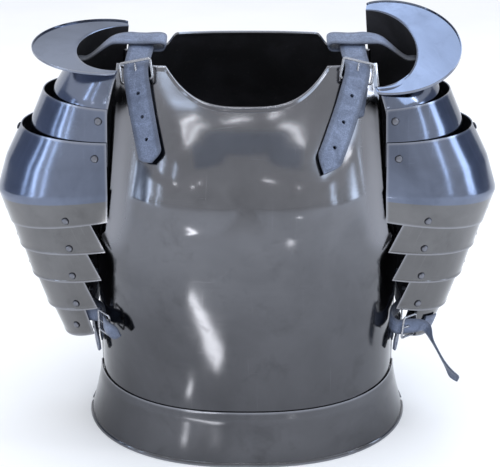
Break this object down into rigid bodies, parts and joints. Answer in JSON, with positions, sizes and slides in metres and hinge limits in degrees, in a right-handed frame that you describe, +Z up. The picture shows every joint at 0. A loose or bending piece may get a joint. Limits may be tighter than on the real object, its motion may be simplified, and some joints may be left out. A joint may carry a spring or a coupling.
{
  "type": "steel breastplate with back plate, skirt and laminated pauldrons",
  "caption": "Wearable steel cuirass: breastplate and back plate with a flared skirt, strapped to riveted shoulder and upper-arm plates.",
  "frame": {"origin": "centre of the bounding box at the hem, on the surface it stands on", "axes": "+Z up, +X to the viewer's right as seen from the front, the breastplate faces -Y"},
  "size_m": [0.5972, 0.3068, 0.5092],
  "materials": {
    "steel": "polished dark plate steel with fine scratches",
    "buckle_steel": "bright polished buckle steel",
    "leather": "dyed blue-black strap leather with a soft sheen"
  },
  "bodies": {
    "cuirass": {"breastplate": "steel", "backplate": "steel", "breast_skirt": "steel", "back_skirt": "steel", "top_plate_left": "steel", "shoulder_strap_left": "leather", "shoulder_chape_left": "leather", "shoulder_buckle_left": "buckle_steel", "shoulder_tongue_left": "buckle_steel", "pauldron_strap_left": "leather", "side_strap_left": "leather", "side_chape_left": "leather", "side_buckle_left": "buckle_steel", "side_tongue_left": "buckle_steel", "top_plate_right": "steel", "shoulder_strap_right": "leather", "shoulder_chape_right": "leather", "shoulder_buckle_right": "buckle_steel", "shoulder_tongue_right": "buckle_steel", "pauldron_strap_right": "leather", "side_strap_right": "leather", "side_chape_right": "leather", "side_buckle_right": "buckle_steel", "side_tongue_right": "buckle_steel"},
    "second_plate_left": {"second_plate_left": "steel"},
    "third_plate_left": {"third_plate_left": "steel"},
    "upper_lame_left": {"upper_lame_left": "steel"},
    "second_lame_left": {"second_lame_left": "steel"},
    "third_lame_left": {"third_lame_left": "steel"},
    "lowest_lame_left": {"lowest_lame_left": "steel", "arm_strap_left": "leather", "arm_chape_left": "leather", "arm_buckle_left": "buckle_steel", "arm_tongue_left": "buckle_steel"},
    "second_plate_right": {"second_plate_right": "steel"},
    "third_plate_right": {"third_plate_right": "steel"},
    "upper_lame_right": {"upper_lame_right": "steel"},
    "second_lame_right": {"second_lame_right": "steel"},
    "third_lame_right": {"third_lame_right": "steel"},
    "lowest_lame_right": {"lowest_lame_right": "steel", "arm_strap_right": "leather", "arm_chape_right": "leather", "arm_buckle_right": "buckle_steel", "arm_tongue_right": "buckle_steel"}
  },
  "joints": [
    {"name": "second_plate_left_pivot", "type": "hinge", "parent": "cuirass", "child": "second_plate_left", "pos_m": [-0.16283, 0, 0.40297], "axis": [0, 1, 0], "range_deg": [0, 6]},
    {"name": "third_plate_left_pivot", "type": "hinge", "parent": "second_plate_left", "child": "third_plate_left", "pos_m": [-0.16807, 0, 0.36207], "axis": [0, 1, 0], "range_deg": [0, 6]},
    {"name": "upper_lame_left_pivot", "type": "hinge", "parent": "third_plate_left", "child": "upper_lame_left", "pos_m": [-0.20611, 0, 0.28607], "axis": [0, 1, 0], "range_deg": [0, 3.5]},
    {"name": "second_lame_left_pivot", "type": "hinge", "parent": "upper_lame_left", "child": "second_lame_left", "pos_m": [-0.205, 0, 0.2497], "axis": [0, 1, 0], "range_deg": [0, 6]},
    {"name": "third_lame_left_pivot", "type": "hinge", "parent": "second_lame_left", "child": "third_lame_left", "pos_m": [-0.20487, 0, 0.21188], "axis": [0, 1, 0], "range_deg": [0, 6]},
    {"name": "lowest_lame_left_pivot", "type": "hinge", "parent": "third_lame_left", "child": "lowest_lame_left", "pos_m": [-0.20422, 0, 0.17202], "axis": [0, 1, 0], "range_deg": [0, 6]},
    {"name": "second_plate_right_pivot", "type": "hinge", "parent": "cuirass", "child": "second_plate_right", "pos_m": [0.16283, 0, 0.40297], "axis": [0, -1, 0], "range_deg": [0, 6]},
    {"name": "third_plate_right_pivot", "type": "hinge", "parent": "second_plate_right", "child": "third_plate_right", "pos_m": [0.16807, 0, 0.36207], "axis": [0, -1, 0], "range_deg": [0, 6]},
    {"name": "upper_lame_right_pivot", "type": "hinge", "parent": "third_plate_right", "child": "upper_lame_right", "pos_m": [0.20611, 0, 0.28607], "axis": [0, -1, 0], "range_deg": [0, 3.5]},
    {"name": "second_lame_right_pivot", "type": "hinge", "parent": "upper_lame_right", "child": "second_lame_right", "pos_m": [0.205, 0, 0.2497], "axis": [0, -1, 0], "range_deg": [0, 6]},
    {"name": "third_lame_right_pivot", "type": "hinge", "parent": "second_lame_right", "child": "third_lame_right", "pos_m": [0.20487, 0, 0.21188], "axis": [0, -1, 0], "range_deg": [0, 6]},
    {"name": "lowest_lame_right_pivot", "type": "hinge", "parent": "third_lame_right", "child": "lowest_lame_right", "pos_m": [0.20422, 0, 0.17202], "axis": [0, -1, 0], "range_deg": [0, 6]}
  ]
}
